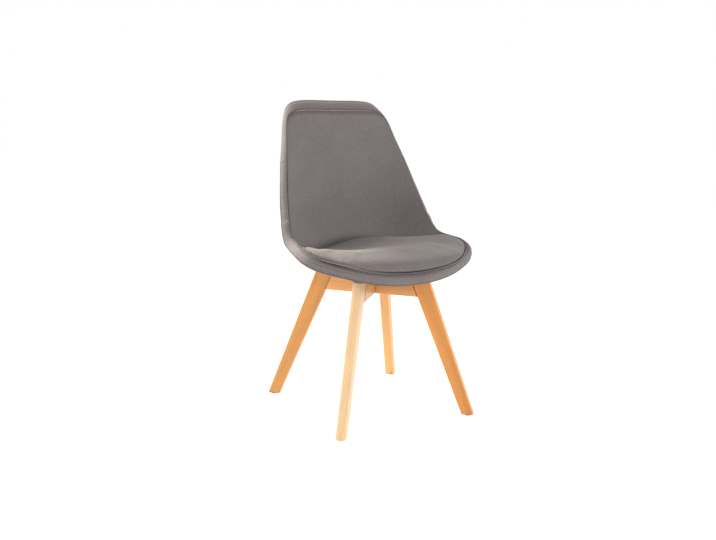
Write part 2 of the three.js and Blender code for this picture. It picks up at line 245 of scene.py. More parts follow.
# Studio: the world's light, and lamps by direction, size, power and tint
world_light = 0.3
lamp_distance = 2.6
lamps = {
    "key": ((-0.28, 0.65, 0.69), 0.45, 125, (1, 0.95, 0.87)),
    "rear right": ((0.7, 0.45, 0.55), 0.8, 17, (1, 1, 1)),
    "side": ((0.8, -0.55, 0.3), 1.4, 34, (1, 1, 1)),
    "left": ((-0.85, 0.1, 0.3), 0.8, 20, (1, 0.96, 0.9)),
    "front left": ((-0.5, -0.75, 0.4), 1.2, 12, (1, 0.97, 0.93)),
}
floor_size = 12
floor_gray = 0.82
floor_roughness = 0.9
faint_gray = 0.3

# The eye's colour curve, for colours from 0 to the full value
full_color = 255
curve_offset = 0.055
curve_power = 2.4

# Noises: the range that they are remapped from, and each one's scale, detail, low and high value
noise_range = (0.3, 0.7)
cloth_fleck = (700, 3, 0.74, 1.26)
cloth_mottle = (200, 3, 0.9, 1.1)
cloth_nap = (14, 2, 0.96, 1.04)
cloth_gloss = (160, 3, 0.86, 0.98)
wood_figure = (45, 2, 0.9, 1.08)
wood_streak = (420, 4, 0.92, 1.07)
wood_fleck = (900, 1, 0.2, 1)
wood_gloss = (420, 4, 0.36, 0.5)
plastic_grain = (1500, 2, 0.9, 1.1)
plastic_tone = (60, 2, 0.94, 1.04)
metal_marks = (120, 3, 0.8, 1.2)
metal_tone = (300, 2, 0.88, 1.06)

# Cloth: its colour, its threads, how dark it gets between them, and how dark its painted shade gets in a
# seam or a crevice
cloth_color = (134, 127, 126)
cloth_roughness = 0.92
cloth_specular = 0.2
sheen_color = (235, 231, 227)
sheen_weight = 0.12
sheen_roughness = 0.4
thread_pitch = 0.0016
thread_unevenness = 1.5
thread_height = 0.0003
thread_bump = 0.6
thread_base = 0.9
thread_gain = 0.3
painted_seam_shade = 0.6
wave_rate = 20

# Beech: how much its grain is drawn out, its dark spots, its coat, and each piece's colour, partly its own
# tone and partly painted light, palest on the front right leg
long_grain_share = 0.05
short_grain_share = 0.2
spot_range = (0.2, 0.45)
spot_shade = (0.86, 1)
wood_roughness = 0.42
coat_weight = 0.25
coat_roughness = 0.3
grain_height = 0.0003
grain_bump = 0.35
wood_tones_and_light = {
    "leg_rear_left": (226, 173, 104),
    "leg_rear_right": (210, 146, 72),
    "leg_front_right": (246, 208, 160),
    "leg_front_left": (238, 160, 78),
    "upper_rail": (230, 164, 98),
    "lower_rail": (226, 165, 106),
}

# Plastics and metals by how their nodes' names start: the material's name, colour and roughness
plastics = {
    ("seat_shell",): ("shell plastic", (222, 221, 215), 0.45),
    ("glide",): ("glide plastic", (42, 42, 43), 0.55),
}
metals = {
    ("seat_screw", "washer"): ("zinc plate", (186, 189, 193), 0.34),
    ("insert",): ("turned brass", (201, 165, 90), 0.3),
}
mark_height = 0.0001
plastic_bump = 0.4
metal_bump = 0.2
metal_stretch = 30

# Shading of the carried-over nodes
weld_distance = 0.00001
sharp_angle = 0.7

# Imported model
for thing in list(bpy.data.objects):
    bpy.data.objects.remove(thing)
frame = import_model()
nodes = frame["nodes"]


# Cubic from start to end with the given slopes, at t from 0 to 1
def cubic(t, start, end, start_slope, end_slope):
    rise = end - start
    bend = 3 * rise - 2 * start_slope - end_slope
    return start + t * (start_slope + t * (bend + t * (start_slope + end_slope - 2 * rise)))


# Fine polyline on the centripetal curve through points
def smooth_line(points, closed):
    knots = np.array(points, float)
    if closed:
        knots = np.vstack([knots[-1:], knots, knots[:2]])
    else:
        knots = np.vstack([2 * knots[0] - knots[1], knots, 2 * knots[-1] - knots[-2]])
    spans = np.diff(knots, axis=0)
    pace = np.sqrt(np.linalg.norm(spans, axis=1))
    t = np.linspace(0, 1, fine_steps, endpoint=False)[:, None]
    pieces = []
    for i in range(1, len(knots) - 2):
        before, here, after = pace[i - 1 : i + 2]
        into, across, out_of = spans[i - 1 : i + 2]
        start = here * (into / before - (into + across) / (before + here)) + across
        end = across + here * (out_of / after - (across + out_of) / (here + after))
        pieces.append(cubic(t, knots[i], knots[i + 1], start, end))
    pieces.append(knots[-2:-1])
    return np.vstack(pieces)


# Length of a polyline up to each of its points
def arc_lengths(line):
    return np.concatenate([[0], np.cumsum(np.linalg.norm(np.diff(line, axis=0), axis=1))])


# Points of a polyline at lengths along it
def at_lengths(line, wanted):
    lengths = arc_lengths(line)
    return np.stack([np.interp(wanted, lengths, line[:, i]) for i in range(line.shape[1])], -1)


# Smooth value between the rows of a table
def table_value(x, places, values):
    places, values = np.array(places, float), np.array(values, float)
    secants = np.diff(values) / np.diff(places)
    slopes = np.concatenate([secants[:1], (secants[1:] + secants[:-1]) / 2, secants[-1:]])
    row = np.clip(np.searchsorted(places, x, side="right") - 1, 0, len(places) - 2)
    span = places[row + 1] - places[row]
    t = (x - places[row]) / span
    return cubic(t, values[row], values[row + 1], slopes[row] * span, slopes[row + 1] * span)


# From 0 at low to 1 at high, without a corner at either
def smoothstep(x, low, high):
    t = np.clip((x - low) / (high - low), 0, 1)
    return t * t * (3 - 2 * t)


def unit(vectors):
    return vectors / np.linalg.norm(vectors, axis=-1, keepdims=True)


# The bucket stands over the place where the rails cross
crossing = sum(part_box("upper_rail"), Vector()) / 2
profile_start = np.array([-lip_forward, lip_height])
profile = smooth_line(profile_start + np.array(profile_shares) * (shell_reach, shell_rise), False)
profile_length = arc_lengths(profile)[-1]
small_step = profile_length / slope_steps


# Point of the bucket's curved middle surface
def bucket_point(across, along):
    share = np.clip(along / profile_length, 0, 1)
    point = at_lengths(profile, share * profile_length)
    ahead = at_lengths(profile, np.clip(share * profile_length + small_step, 0, profile_length))
    behind = at_lengths(profile, np.clip(share * profile_length - small_step, 0, profile_length))
    tangent = unit(ahead - behind)
    power = table_value(share, station_shares, dish_powers)
    rise = np.abs(across / shell_half_width) ** power
    dish = table_value(share, station_shares, dish_shares) * dish_depth * rise
    y = point[..., 0] - tangent[..., 1] * dish + crossing.y
    z = point[..., 1] + tangent[..., 0] * dish
    return np.stack([across + 0 * y, y, z], -1)


# Unit normal of that surface towards the sitter
def bucket_normal(across, along):
    low = np.maximum(along - small_step, 0)
    high = np.minimum(along + small_step, profile_length)
    side = bucket_point(across + small_step, along) - bucket_point(across - small_step, along)
    ahead = bucket_point(across, high) - bucket_point(across, low)
    return unit(np.cross(side, ahead))


# Point at a height over the middle surface: near the top the front lies lower than the rear, and wider
def over(place, height):
    across, along = place[..., 0], place[..., 1]
    share = smoothstep(along / profile_length, setback_share, 1) * (height + half_band) / band_width
    across = across * (1 + spread_share * share)
    along = along - top_setback * share
    lift = bucket_normal(across, along) * (height * np.ones(len(across)))[..., None]
    return bucket_point(across, along) + lift


# Closed outline on the flat bucket from its right half, starting at the front
def outline(shares):
    right = [(across * shell_half_width, along * profile_length) for across, along in shares]
    left = [(-across, along) for across, along in right[-2:0:-1]]
    return smooth_line(right + left, True)


# Points spaced evenly along an outline: the outer ends of the spokes of a pad
def outline_ends(shares, count):
    line = outline(shares)
    return at_lengths(line, np.linspace(0, arc_lengths(line)[-1], count, endpoint=False))


# Unit directions out of the bucket's edge along its surface
def outward_of(ends):
    here = over(ends, 0)
    tangent = unit(np.roll(here, -1, 0) - np.roll(here, 1, 0))
    return unit(np.cross(tangent, bucket_normal(ends[:, 0], ends[:, 1])))


# Places moved from the ends towards the centre by an inset
def inset_places(ends, centre, inset):
    reach = np.linalg.norm(ends - centre, axis=1)
    return centre + (ends - centre) * (1 - inset / reach)[:, None]


# Gentle rise and fall from a smooth noise at points
def unevenness(points, size, seed):
    shift = Vector((seed, 0, 0))
    return np.array([noise.noise(Vector(point) / size + shift) for point in points])


# The same along a line, at lengths along it
def unevenness_along(lengths, size, seed):
    return np.array([noise.noise(Vector((length / size, seed, 0))) for length in lengths])


# New object in the scene
def new_object(name, data):
    made = bpy.data.objects.new(name, data)
    bpy.context.scene.collection.objects.link(made)
    return made


# Smooth mesh whose faces all look outwards
def mesh_from(name, points, faces):
    mesh = bpy.data.meshes.new(name)
    mesh.from_pydata([tuple(point) for point in points], [], faces)
    shade_smooth(mesh)
    work = bmesh.new()
    work.from_mesh(mesh)
    bmesh.ops.recalc_face_normals(work, faces=work.faces)
    work.to_mesh(mesh)
    work.free()
    return mesh


def shade_smooth(mesh):
    mesh.polygons.foreach_set("use_smooth", [True] * len(mesh.polygons))


# Faces between rings of equal point counts: closed joins the last ring to the first
def ring_faces(ring_total, count, closed):
    faces = []
    bands = ring_total if closed else ring_total - 1
    for ring in range(bands):
        here = ring * count
        after = (ring + 1) % ring_total * count
        for i in range(count):
            j = (i + 1) % count
            faces.append((here + i, here + j, after + j, after + i))
    return faces


# Closed faces of rings between two middle points, which come last
def capped_faces(ring_total, count):
    faces = ring_faces(ring_total, count, False)
    top = ring_total * count
    end = top - count
    for i in range(count):
        j = (i + 1) % count
        faces.append((top, j, i))
        faces.append((top + 1, end + i, end + j))
    return faces


# Flat places of the cloth as the mesh's texture map
def set_map(mesh, places):
    layer = mesh.uv_layers.new(name="cloth")
    corners = np.zeros(len(mesh.loops), int)
    mesh.loops.foreach_get("vertex_index", corners)
    layer.data.foreach_set("uv", np.asarray(places, float)[corners].ravel())


# Painted shade: how deep each point lies in a seam or a crevice, from 0 to 1, which darkens the cloth's
# colour
def set_painted_shade(mesh, values):
    layer = mesh.attributes.new("seam", "FLOAT", "POINT")
    layer.data.foreach_set("value", np.asarray(values, float))


# Painted shade in a seam at distances from it
def seam_shade_values(distances):
    return seam_shade_share * (1 - smoothstep(np.asarray(distances, float), 0, seam_shade_reach))


# Painted seam shade of rings of points, given how far each ring lies from the seam: deeper at the back's
# top
def seam_shade_rings(distances, ends):
    top = smoothstep(ends[:, 1] / profile_length, *top_strip_shares)
    return np.concatenate([seam_shade_values(away) * (1 + top_seam_shade_gain * top) for away in distances])


# Distance from each point to the nearest point of a line
def distances_to(line, points):
    tree = KDTree(len(line))
    for i, place in enumerate(line):
        tree.insert(place, i)
    tree.balance()
    return np.array([tree.find(point)[2] for point in points])


# Vertices of a mesh, one row each
def points_of(mesh):
    numbers = np.zeros(len(mesh.vertices) * 3)
    mesh.vertices.foreach_get("co", numbers)
    return numbers.reshape(-1, 3)


# Keeps what the modifiers make as the piece's own mesh
def apply_modifiers(piece):
    graph = bpy.context.evaluated_depsgraph_get()
    made = bpy.data.meshes.new_from_object(piece.evaluated_get(graph))
    piece.modifiers.clear()
    piece.data = made


# Edge of the bucket, and the middle that its pads' spokes start from
bucket_line = outline(edge_shares)
bucket_length = arc_lengths(bucket_line)[-1]
bucket_ends = outline_ends(edge_shares, spoke_count)
bucket_centre = np.array([0, bucket_centre_share * profile_length])


# Insets and drops of a pad's edge, which rolls down and then under into the seam
def pad_edge_steps():
    roll = [(roll_width * (1 - math.sin(a)), roll_drop * (1 - math.cos(a))) for a in quarter_turn[:-1]]
    under = [(seam_round * (1 - math.cos(a)), roll_drop + seam_round * math.sin(a)) for a in quarter_turn]
    return roll + under


# How much wider the roll is at the back, and at its top, than at the seat
def roll_widening():
    share = bucket_ends[:, 1] / profile_length
    wider = (back_roll_factor - 1) * smoothstep(share, *back_shares)
    return 1 + wider + top_roll_gain * smoothstep(share, *top_strip_shares)


# Insets and drops of a pad's outer side, from its middle to the seam
def pad_levels(reach, wide):
    inward = np.linspace(0, 1, ring_count + 1)[1:-1]
    levels = [(reach + (roll_width * wide - reach) * share, 0) for share in inward]
    return levels + [(inset * wide, drop) for inset, drop in pad_edge_steps()]


# Lift of a pad's surface: gentle waves that fade out at the seam, less the gathers beside it
def pad_lift(points, inset, side):
    waves = waviness * unevenness(points, wave_length, side) * smoothstep(inset, 0, wave_length)
    return waves - puckers(inset, side)


# Pad of the bucket: side 1 is the sitter's and -1 the rear
def pad(name, side, floor):
    reach = np.linalg.norm(bucket_ends - bucket_centre, axis=1)
    wide = roll_widening()
    rings, places, depths = [], [], []
    for inset, drop in pad_levels(reach, wide):
        place = inset_places(bucket_ends, bucket_centre, inset)
        points = over(place, side * (half_band - drop))
        normal = side * bucket_normal(place[:, 0], place[:, 1])
        rings.append(points + normal * pad_lift(points, inset, side)[:, None])
        places.append(place)
        depths.append(inset / wide)
    for share in np.linspace(1, 0, inner_ring_count + 1)[:-1]:
        inset = reach + (seam_round - reach) * share
        place = inset_places(bucket_ends, bucket_centre, inset)
        rings.append(over(place, side * floor))
        places.append(place)
        depths.append(inset)
    middle = bucket_centre[None, :]
    points = np.vstack([*rings, over(middle, side * half_band), over(middle, side * floor)])
    places = np.vstack([*places, middle, middle])
    mesh = mesh_from(name, points, capped_faces(len(rings), spoke_count))
    set_map(mesh, places)
    # Painted shade in the pad's seam
    seam_shades = np.append(seam_shade_rings(depths, bucket_ends), [0, 0])
    # The front pad also gets painted shade in the crevice round the cushion's rear
    if side > 0:
        seam_shades = np.maximum(seam_shades, crevice_shade_values(points, places))
    set_painted_shade(mesh, seam_shades)
    return new_object(name, mesh)


# Painted shade on the front pad in the crevice between the back and the cushion: how deep each point lies
# in it
def crevice_shade_values(points, places):
    edge = over(outline_ends(cushion_shares, edge_point_count), half_band)
    rear = smoothstep(places[:, 1] / profile_length, *crevice_shade_shares)
    return rear * (1 - smoothstep(distances_to(edge, points), 0, crevice_shade_reach))


# Small gathers beside the seam, deepest at the top
def puckers(inset, seed):
    lengths = arc_lengths(bucket_ends)
    wave = np.sin(2 * math.pi * lengths / pucker_pitch)
    drift = unevenness_along(lengths, pucker_drift, seed)
    top = smoothstep(bucket_ends[:, 1] / profile_length, *top_strip_shares)
    strength = low_pucker_share + (1 - low_pucker_share) * top
    strength = strength * smoothstep(drift, *pucker_drift_shares)
    near = np.exp(-inset / pucker_reach) * smoothstep(inset, 0, seam_round)
    return pucker_depth * strength * near * (1 + wave) / 2


# Round holes where the shell's bosses pass through the rear pad
def cut_boss_holes(piece):
    work = bmesh.new()
    for corner in corner_names:
        middle = sum(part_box("insert_" + corner), Vector()) / 2
        bmesh.ops.create_cone(
            work,
            cap_ends=True,
            segments=hole_sides,
            radius1=boss_hole_radius,
            radius2=boss_hole_radius,
            depth=boss_hole_reach,
            matrix=Matrix.Translation(middle),
        )
    mesh = bpy.data.meshes.new("cutter")
    work.to_mesh(mesh)
    work.free()
    cutter = new_object("cutter", mesh)
    cut = piece.modifiers.new("holes", "BOOLEAN")
    cut.operation = "DIFFERENCE"
    cut.solver = "EXACT"
    cut.object = cutter
    apply_modifiers(piece)
    bpy.data.objects.remove(cutter)


# Lengths round the edge, closer together at the band's joints
def band_lengths():
    even = np.linspace(0, bucket_length, spoke_count, endpoint=False)
    near = np.linspace(-joint_reach, joint_reach, 2 * round_steps + 1)
    return np.unique(np.concatenate([even, *[share * bucket_length + near for share in joint_shares]]))


# Section of the band from seam to seam, rounded at both: heights, and how far out they lie
def band_section():
    turn = [(seam_round * math.sin(a), -seam_round * (1 - math.cos(a))) for a in quarter_turn]
    rear = [(-band_flat - height, out) for height, out in turn[::-1]]
    flat = [(height, 0) for height in np.linspace(-band_flat, band_flat, band_steps + 1)[1:-1]]
    return rear + flat + [(band_flat + height, out) for height, out in turn]


# Crowned strip between the two seams, with soft folds round the seat's corners
def side_band():
    lengths = band_lengths()
    ends = at_lengths(bucket_line, lengths)
    outward = outward_of(ends)
    full = np.ones(len(ends))
    rings, maps, depths = [], [], []
    for height, out in band_section():
        base = over(ends, height)
        lift = band_base + out + band_crown * max(1 - (height / band_flat) ** 2, 0)
        lift = lift + band_folds(lengths, height) + waviness * unevenness(base, wave_length, band_seed)
        lift = lift - band_joints(lengths)
        rings.append(base + outward * lift[:, None])
        maps.append(np.stack([lengths, height * full], 1))
        depths.append((band_edge - abs(height)) * full)
    for height in np.linspace(band_edge, -band_edge, round_steps)[1:-1]:
        rings.append(over(ends, height) + outward * band_inside)
        maps.append(np.stack([lengths, height * full], 1))
        depths.append(0 * full)
    mesh = mesh_from("seat_band", np.vstack(rings), ring_faces(len(rings), len(ends), True))
    set_map(mesh, np.vstack(maps))
    # Painted shade along both seams of the band
    set_painted_shade(mesh, seam_shade_rings(depths, ends))
    return new_object("seat_band", mesh)


# Soft lengthwise folds where the band turns the seat's front corners
def band_folds(lengths, height):
    corner = bucket_length * fold_share
    away = np.minimum(np.abs(lengths - corner), np.abs(lengths - (bucket_length - corner)))
    near = np.exp(-((away / fold_reach) ** 2))
    drift = unevenness_along(lengths, fold_drift, fold_seed)
    return fold_depth * near * np.cos(2 * math.pi * (height / fold_pitch + drift / 2))


# Narrow valleys where the band's two strips are sewn together
def band_joints(lengths):
    away = np.min([np.abs(lengths - share * bucket_length) for share in joint_shares], axis=0)
    return joint_depth * np.exp(-((away / joint_width) ** 2))


# Edge of the cushion, its middle and its floor, and how far out the rings of its crown lie
cushion_centre = np.array([0, cushion_centre_share * profile_length])
cushion_ends = outline_ends(cushion_shares, spoke_count)
cushion_floor = half_band + cushion_gap
crown_outs = np.sin(np.linspace(0, math.pi / 2, crown_ring_count))[1:]


# Crowned closed form of the cushion, a little lower than it swells to
def cushion_start():
    reach = np.linalg.norm(cushion_ends - cushion_centre, axis=1)
    rings = []
    for out in crown_outs:
        place = inset_places(cushion_ends, cushion_centre, reach * (1 - out))
        rings.append(over(place, cushion_floor + cushion_height(place, out)))
    for share in np.linspace(1, 0, round_steps)[:-1]:
        inset = cushion_draw_in * share + reach * (1 - share)
        rings.append(over(inset_places(cushion_ends, cushion_centre, inset), cushion_floor))
    middle = cushion_centre[None, :]
    top = over(middle, cushion_floor + cushion_height(middle, 0))
    points = np.vstack([*rings, top, over(middle, cushion_floor)])
    mesh = mesh_from("cushion", points, capped_faces(len(rings), spoke_count))
    return new_object("seat_cushion", mesh)


# Thickness of the cushion at places that lie a share out from its middle
def cushion_height(place, out):
    crown = cushion_crown * (1 - out**crown_power) ** crown_fullness
    return (cushion_edge + crown) * (1 - cushion_lean * lean_share(place))


# From 0 to 1 towards the rear corner where the cushion is thinner
def lean_share(place):
    sideways = 1 - smoothstep(place[:, 0] / shell_half_width, *lean_across_shares)
    return sideways * smoothstep(place[:, 1] / profile_length, *lean_along_shares)


# Even small faces, which the simulation and the subdivision need
def even_out(piece):
    remesh = piece.modifiers.new("even", "REMESH")
    remesh.mode = "VOXEL"
    remesh.voxel_size = voxel
    apply_modifiers(piece)


# Group of the vertices on the cushion's sides and floor, which are held, while its top is free
def hold_floor(piece, start_mesh):
    tree = BVHTree.FromPolygons(
        [vertex.co for vertex in start_mesh.vertices],
        [tuple(face.vertices) for face in start_mesh.polygons],
    )
    free_faces = (len(crown_outs) - 1) * spoke_count
    first_cap = free_faces + (round_steps - 1) * spoke_count
    held = piece.vertex_groups.new(name="held")
    for vertex in piece.data.vertices:
        found = tree.find_nearest(vertex.co)[2]
        on_top_cap = found >= first_cap and (found - first_cap) % 2 == 0
        if found >= free_faces and not on_top_cap:
            held.add([vertex.index], 1, "REPLACE")
    return held.name


# Fills the cushion with a short cloth simulation, limited to a small movement
def swell(piece, held):
    start = points_of(piece.data)
    cloth = piece.modifiers.new("cloth", "CLOTH")
    cloth.settings.use_pressure = True
    cloth.settings.uniform_pressure_force = cloth_pressure
    cloth.settings.vertex_group_mass = held
    cloth.settings.effector_weights.gravity = 0
    cloth.settings.bending_stiffness = cloth_bending
    cloth.point_cache.frame_start = 1
    cloth.point_cache.frame_end = cloth_frames
    for step in range(1, cloth_frames + 1):
        bpy.context.scene.frame_set(step)
    apply_modifiers(piece)
    moved = points_of(piece.data) - start
    far = np.maximum(np.linalg.norm(moved, axis=1, keepdims=True), swell_limit)
    piece.data.vertices.foreach_set("co", (start + moved * swell_limit / far).ravel())
    bpy.context.scene.frame_set(1)


# One subdivision, the cloth's flat places from above and from the front, and painted shade along the
# cushion's edge
def finish_cushion(piece):
    relax = piece.modifiers.new("relax", "SMOOTH")
    relax.iterations = relax_steps
    smooth = piece.modifiers.new("smooth", "SUBSURF")
    smooth.levels = 1
    smooth.render_levels = 1
    apply_modifiers(piece)
    points = points_of(piece.data)
    for layer in list(piece.data.uv_layers):
        piece.data.uv_layers.remove(layer)
    set_map(piece.data, np.stack([points[:, 0], points[:, 1] + points[:, 2]], 1))
    # Painted shade along the cushion's edge
    edge = over(outline_ends(cushion_shares, edge_point_count), cushion_floor)
    set_painted_shade(piece.data, seam_shade_values(distances_to(edge, points)))
    shade_smooth(piece.data)


# Round cord sewn along the cushion's edge, with the small waves of its cover
def piping():
    outward = outward_of(cushion_ends)
    normal = bucket_normal(cushion_ends[:, 0], cushion_ends[:, 1])
    middle = over(cushion_ends, cushion_floor + piping_lift + piping_radius) + outward * piping_radius
    lengths = arc_lengths(cushion_ends)
    rings, maps = [], []
    for side in range(cord_sides):
        angle = 2 * math.pi * side / cord_sides
        wave = 1 + piping_wave * np.sin(2 * math.pi * lengths / pucker_pitch + 2 * angle)
        around = normal * math.cos(angle) + outward * math.sin(angle)
        rings.append(middle + around * (piping_radius * wave)[:, None])
        maps.append(np.stack([lengths, angle * piping_radius * np.ones(len(lengths))], 1))
    mesh = mesh_from("piping_cord", np.vstack(rings), ring_faces(cord_sides, spoke_count, True))
    set_map(mesh, np.vstack(maps))
    return new_object("piping_cord", mesh)


# Linear colour from the eye's
def linear(color):
    return tuple(((part / full_color + curve_offset) / (1 + curve_offset)) ** curve_power for part in color)


# New material, its node tree and its main shader
def shader(name, color, roughness, **constants):
    material = bpy.data.materials.new(name)
    material.use_nodes = True
    tree = material.node_tree
    main = next(node for node in tree.nodes if node.type == "BSDF_PRINCIPLED")
    main.inputs["Base Color"].default_value = (*color, 1)
    main.inputs["Roughness"].default_value = roughness
    for key, value in constants.items():
        main.inputs[key.replace("_", " ")].default_value = value
    return material, tree, main


# New node with settings for its properties and its inputs
def add(tree, kind, **settings):
    node = tree.nodes.new(kind)
    for key, value in settings.items():
        if key in node.inputs:
            node.inputs[key].default_value = value
        else:
            setattr(node, key, value)
    return node


# Value taken from one range to another
def remapped(tree, value, from_low, from_high, low, high):
    span = add(tree, "ShaderNodeMapRange")
    span.inputs["From Min"].default_value = from_low
    span.inputs["From Max"].default_value = from_high
    span.inputs["To Min"].default_value = low
    span.inputs["To Max"].default_value = high
    tree.links.new(value, span.inputs["Value"])
    return span.outputs["Result"]


# Noise on places, between the given low and high values
def noise_value(tree, places, scale, detail, low, high):
    made = add(tree, "ShaderNodeTexNoise", Scale=scale, Detail=detail)
    tree.links.new(places, made.inputs["Vector"])
    return remapped(tree, made.outputs["Fac"], *noise_range, low, high)


# Two values put together by an operation
def combine(tree, operation, first, second):
    node = add(tree, "ShaderNodeMath", operation=operation)
    for socket, value in zip(node.inputs, (first, second)):
        if isinstance(value, (int, float)):
            socket.default_value = value
        else:
            tree.links.new(value, socket)
    return node.outputs[0]


def product(tree, first, second):
    return combine(tree, "MULTIPLY", first, second)


# Value times a gain, over a base
def scaled(tree, value, gain, base):
    made = combine(tree, "MULTIPLY_ADD", value, gain)
    made.node.inputs[2].default_value = base
    return made


# Colour made lighter and darker by a value round one
def shaded(tree, color, value):
    node = add(tree, "ShaderNodeVectorMath", operation="SCALE")
    node.inputs[0].default_value = color
    tree.links.new(value, node.inputs["Scale"])
    return node.outputs[0]


# Relief of a height in metres, seen by the main shader
def bump(tree, main, height, distance, strength):
    node = add(tree, "ShaderNodeBump", Strength=strength, Distance=distance)
    tree.links.new(height, node.inputs["Height"])
    tree.links.new(node.outputs["Normal"], main.inputs["Normal"])


# Places on the object itself
def solid_places(tree):
    return add(tree, "ShaderNodeTexCoord").outputs["Object"]


# Waves across one direction of the cloth's flat map: one set of threads
def threads(tree, places, direction):
    wave = add(tree, "ShaderNodeTexWave", bands_direction=direction)
    wave.inputs["Scale"].default_value = 2 * math.pi / (wave_rate * thread_pitch)
    wave.inputs["Distortion"].default_value = thread_unevenness
    wave.inputs["Detail Scale"].default_value = thread_unevenness
    tree.links.new(places, wave.inputs["Vector"])
    return wave.outputs["Fac"]


# Heathered cloth: crossed threads, flecked fibres, a soft nap, and painted shade in its seams and crevices
def cloth_material(name, color):
    material, tree, main = shader(
        name,
        color,
        cloth_roughness,
        Specular_IOR_Level=cloth_specular,
        Sheen_Weight=sheen_weight,
        Sheen_Roughness=sheen_roughness,
        Sheen_Tint=(*linear(sheen_color), 1),
    )
    flat = add(tree, "ShaderNodeUVMap", uv_map="cloth").outputs["UV"]
    solid = solid_places(tree)
    weave = product(tree, threads(tree, flat, "X"), threads(tree, flat, "Y"))
    fibres = product(tree, noise_value(tree, flat, *cloth_fleck), noise_value(tree, solid, *cloth_mottle))
    # Painted shade read from the mesh darkens the colour in seams and crevices
    seam = add(tree, "ShaderNodeAttribute", attribute_name="seam").outputs["Fac"]
    painted_shade = scaled(tree, seam, -painted_seam_shade, 1)
    shade = product(tree, fibres, product(tree, noise_value(tree, solid, *cloth_nap), painted_shade))
    depth = scaled(tree, weave, thread_gain, thread_base)
    tree.links.new(shaded(tree, color, product(tree, shade, depth)), main.inputs["Base Color"])
    tree.links.new(noise_value(tree, solid, *cloth_gloss), main.inputs["Roughness"])
    bump(tree, main, weave, thread_height, thread_bump)
    return material


# Beech along a direction: broad figure, fine streaks, short dark spots and a satin coat
def beech_material(name, color, along, seed):
    material, tree, main = shader(
        name,
        color,
        wood_roughness,
        Coat_Weight=coat_weight,
        Coat_Roughness=coat_roughness,
    )
    turn = add(tree, "ShaderNodeVectorRotate", rotation_type="EULER_XYZ")
    turn.inputs["Rotation"].default_value = along.rotation_difference(Vector((0, 0, 1))).to_euler()
    tree.links.new(solid_places(tree), turn.inputs["Vector"])
    long_grain = stretched(tree, turn.outputs[0], long_grain_share, seed)
    short_grain = stretched(tree, turn.outputs[0], short_grain_share, seed)
    grain = product(
        tree,
        noise_value(tree, long_grain, *wood_figure),
        noise_value(tree, long_grain, *wood_streak),
    )
    fleck = noise_value(tree, short_grain, *wood_fleck)
    shade = product(tree, grain, remapped(tree, fleck, *spot_range, *spot_shade))
    tree.links.new(shaded(tree, color, shade), main.inputs["Base Color"])
    tree.links.new(noise_value(tree, long_grain, *wood_gloss), main.inputs["Roughness"])
    bump(tree, main, shade, grain_height, grain_bump)
    return material


# Places squeezed along the grain, so that what is drawn on them is drawn out, each seed elsewhere
def stretched(tree, places, share, seed):
    node = add(tree, "ShaderNodeMapping")
    node.inputs["Scale"].default_value = (1, 1, share)
    node.inputs["Location"].default_value = (seed, seed / 2, seed / 3)
    tree.links.new(places, node.inputs["Vector"])
    return node.outputs[0]


# Moulded plastic with a fine spark-eroded texture
def plastic_material(name, color, roughness):
    material, tree, main = shader(name, color, roughness)
    place = solid_places(tree)
    grain = noise_value(tree, place, *plastic_grain)
    mark_surface(tree, main, color, noise_value(tree, place, *plastic_tone), grain, roughness, plastic_bump)
    return material


# Plated or turned metal with faint turning marks and stains
def metal_material(name, color, roughness):
    material, tree, main = shader(name, color, roughness, Metallic=1)
    place = solid_places(tree)
    marks = noise_value(tree, stretched(tree, place, metal_stretch, 0), *metal_marks)
    mark_surface(tree, main, color, noise_value(tree, place, *metal_tone), marks, roughness, metal_bump)
    return material


# Gives a shader a tone in its colour, and marks in its gloss and its relief
def mark_surface(tree, main, color, tone, marks, roughness, strength):
    tree.links.new(shaded(tree, color, tone), main.inputs["Base Color"])
    tree.links.new(product(tree, marks, roughness), main.inputs["Roughness"])
    bump(tree, main, marks, mark_height, strength)


# Smoothing of the carried-over nodes: split faces joined, and shallow edges shaded smooth
def smoothing_group():
    tree = bpy.data.node_groups.new("smooth shading", "GeometryNodeTree")
    tree.interface.new_socket("Geometry", in_out="INPUT", socket_type="NodeSocketGeometry")
    tree.interface.new_socket("Geometry", in_out="OUTPUT", socket_type="NodeSocketGeometry")
    chain = [
        add(tree, "NodeGroupInput"),
        add(tree, "GeometryNodeRemoveAttribute", Name="custom_normal"),
        add(tree, "GeometryNodeMergeByDistance", Distance=weld_distance),
        add(tree, "GeometryNodeSetShadeSmooth", domain="FACE"),
        add(tree, "GeometryNodeSetShadeSmooth", domain="EDGE"),
        add(tree, "NodeGroupOutput"),
    ]
    chain[3].inputs["Shade Smooth"].default_value = True
    chain[4].inputs["Shade Smooth"].default_value = False
    for before, after in zip(chain, chain[1:]):
        tree.links.new(before.outputs[0], after.inputs[0])
    angle = add(tree, "GeometryNodeInputMeshEdgeAngle")
    sharp = add(tree, "FunctionNodeCompare", operation="GREATER_THAN", B=sharp_angle)
    tree.links.new(angle.outputs[0], sharp.inputs["A"])
    tree.links.new(sharp.outputs[0], chain[4].inputs["Selection"])
    return tree


# Direction in which a node is longest, upwards
def long_axis(node):
    points = points_of(node.data)
    axis = Vector(np.linalg.svd(points - points.mean(0), full_matrices=False)[2][0])
    return axis if axis.z >= 0 else -axis


# Gives a carried-over node its material and its smooth shading
def give(node, material, smoothing):
    for place in node.material_slots:
        place.link = "OBJECT"
        place.material = material
    modifier = node.modifiers.new("smooth", "NODES")
    modifier.node_group = smoothing


# Material of a carried-over node, or none where a new piece stands for it
def material_of(name, node, seed):
    if name in wood_tones_and_light:
        return beech_material("beech " + name, linear(wood_tones_and_light[name]), long_axis(node), seed)
    for prefixes, material in hard_materials.items():
        if name.startswith(prefixes):
            return material
    return None


# Gives a new piece its material, its slot and its body, and the nodes that it stands for
def dress(piece, material, *replaced):
    piece.data.materials.clear()
    piece.data.materials.append(material)
    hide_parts(*replaced)
    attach(piece, "root")


